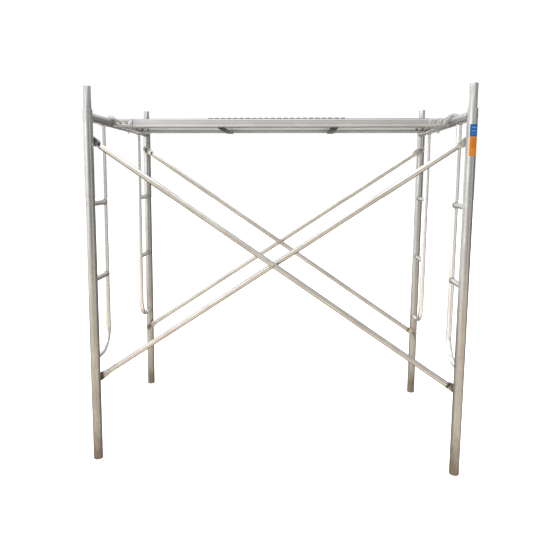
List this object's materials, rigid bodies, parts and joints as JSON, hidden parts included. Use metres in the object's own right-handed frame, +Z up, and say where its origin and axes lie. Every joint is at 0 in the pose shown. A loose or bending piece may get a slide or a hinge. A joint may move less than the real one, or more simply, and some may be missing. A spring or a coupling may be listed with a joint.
{
  "type": "frame scaffold section",
  "caption": "Walk-through frame scaffold bay: two tubular end frames with spigots, crossed braces locked on studs, and a hook-on steel walk board.",
  "frame": {"origin": "on the ground, midway between the four posts", "axes": "+X along the bay, +Y across the end frames from front to rear, +Z up"},
  "size_m": [1.708, 0.9566, 1.7],
  "materials": {
    "galvanised_post_tube": "hot-dip galvanised steel tube, satin with drawn streaks",
    "galvanised_slim_tube": "galvanised steel tube, satin",
    "galvanised_brace_tube": "galvanised steel tube, brighter satin",
    "galvanised_sheet": "galvanised steel sheet, matt satin",
    "galvanised_hook_plate": "galvanised pressed plate, matt satin",
    "zinc_plated_hardware": "dulled zinc plating",
    "blue_label": "printed vinyl band, semi-gloss",
    "orange_label": "printed vinyl band, semi-gloss"
  },
  "bodies": {
    "frame_and_braces": {"brace_front_falling": "galvanised_brace_tube", "brace_front_rising": "galvanised_brace_tube", "brace_pivot_rivets": "zinc_plated_hardware", "brace_rear_falling": "galvanised_brace_tube", "brace_rear_rising": "galvanised_brace_tube", "brace_spacers": "zinc_plated_hardware", "brace_stud_front_left_lower": "zinc_plated_hardware", "brace_stud_front_left_upper": "zinc_plated_hardware", "brace_stud_front_right_lower": "zinc_plated_hardware", "brace_stud_front_right_upper": "zinc_plated_hardware", "brace_stud_rear_left_lower": "zinc_plated_hardware", "brace_stud_rear_left_upper": "zinc_plated_hardware", "brace_stud_rear_right_lower": "zinc_plated_hardware", "brace_stud_rear_right_upper": "zinc_plated_hardware", "crossbar_left": "galvanised_post_tube", "crossbar_right": "galvanised_post_tube", "inner_upright_front_left": "galvanised_slim_tube", "inner_upright_front_right": "galvanised_slim_tube", "inner_upright_rear_left": "galvanised_slim_tube", "inner_upright_rear_right": "galvanised_slim_tube", "label_blue": "blue_label", "label_orange": "orange_label", "latch_rivets": "zinc_plated_hardware", "post_front_left": "galvanised_post_tube", "post_front_right": "galvanised_post_tube", "post_rear_left": "galvanised_post_tube", "post_rear_right": "galvanised_post_tube", "rung_front_left_lower": "galvanised_slim_tube", "rung_front_left_upper": "galvanised_slim_tube", "rung_front_right_lower": "galvanised_slim_tube", "rung_front_right_upper": "galvanised_slim_tube", "rung_rear_left_lower": "galvanised_slim_tube", "rung_rear_left_upper": "galvanised_slim_tube", "rung_rear_right_lower": "galvanised_slim_tube", "rung_rear_right_upper": "galvanised_slim_tube", "spigot_front_left": "galvanised_post_tube", "spigot_front_right": "galvanised_post_tube", "spigot_rear_left": "galvanised_post_tube", "spigot_rear_right": "galvanised_post_tube"},
    "walk_board": {"board_cross_strip_left": "galvanised_sheet", "board_cross_strip_right": "galvanised_sheet", "board_deck": "galvanised_sheet", "board_end_channel_left": "galvanised_sheet", "board_end_channel_right": "galvanised_sheet", "board_hook_front_left": "galvanised_hook_plate", "board_hook_front_right": "galvanised_hook_plate", "board_hook_rear_left": "galvanised_hook_plate", "board_hook_rear_right": "galvanised_hook_plate", "board_hook_rivets": "zinc_plated_hardware", "board_rail_front": "galvanised_sheet", "board_rail_rear": "galvanised_sheet"},
    "latch_front_left_upper_body": {"latch_front_left_upper": "zinc_plated_hardware"},
    "latch_front_left_lower_body": {"latch_front_left_lower": "zinc_plated_hardware"},
    "latch_front_right_upper_body": {"latch_front_right_upper": "zinc_plated_hardware"},
    "latch_front_right_lower_body": {"latch_front_right_lower": "zinc_plated_hardware"},
    "latch_rear_left_upper_body": {"latch_rear_left_upper": "zinc_plated_hardware"},
    "latch_rear_left_lower_body": {"latch_rear_left_lower": "zinc_plated_hardware"},
    "latch_rear_right_upper_body": {"latch_rear_right_upper": "zinc_plated_hardware"},
    "latch_rear_right_lower_body": {"latch_rear_right_lower": "zinc_plated_hardware"}
  },
  "joints": [
    {"name": "walk_board_lift", "type": "slide", "parent": "frame_and_braces", "child": "walk_board", "axis": [0, 0, 1], "range_m": [0, 0.25]},
    {"name": "latch_front_left_upper_swing", "type": "hinge", "parent": "frame_and_braces", "child": "latch_front_left_upper_body", "pos_m": [-0.815, -0.4178, 1.475], "axis": [1, 0, 0], "range_deg": [0, 90]},
    {"name": "latch_front_left_lower_swing", "type": "hinge", "parent": "frame_and_braces", "child": "latch_front_left_lower_body", "pos_m": [-0.815, -0.4178, 0.376], "axis": [1, 0, 0], "range_deg": [0, 90]},
    {"name": "latch_front_right_upper_swing", "type": "hinge", "parent": "frame_and_braces", "child": "latch_front_right_upper_body", "pos_m": [0.815, -0.4178, 1.475], "axis": [1, 0, 0], "range_deg": [0, 90]},
    {"name": "latch_front_right_lower_swing", "type": "hinge", "parent": "frame_and_braces", "child": "latch_front_right_lower_body", "pos_m": [0.815, -0.4178, 0.376], "axis": [1, 0, 0], "range_deg": [0, 90]},
    {"name": "latch_rear_left_upper_swing", "type": "hinge", "parent": "frame_and_braces", "child": "latch_rear_left_upper_body", "pos_m": [-0.815, 0.4178, 1.475], "axis": [-1, 0, 0], "range_deg": [0, 90]},
    {"name": "latch_rear_left_lower_swing", "type": "hinge", "parent": "frame_and_braces", "child": "latch_rear_left_lower_body", "pos_m": [-0.815, 0.4178, 0.376], "axis": [-1, 0, 0], "range_deg": [0, 90]},
    {"name": "latch_rear_right_upper_swing", "type": "hinge", "parent": "frame_and_braces", "child": "latch_rear_right_upper_body", "pos_m": [0.815, 0.4178, 1.475], "axis": [-1, 0, 0], "range_deg": [0, 90]},
    {"name": "latch_rear_right_lower_swing", "type": "hinge", "parent": "frame_and_braces", "child": "latch_rear_right_lower_body", "pos_m": [0.815, 0.4178, 0.376], "axis": [-1, 0, 0], "range_deg": [0, 90]}
  ]
}
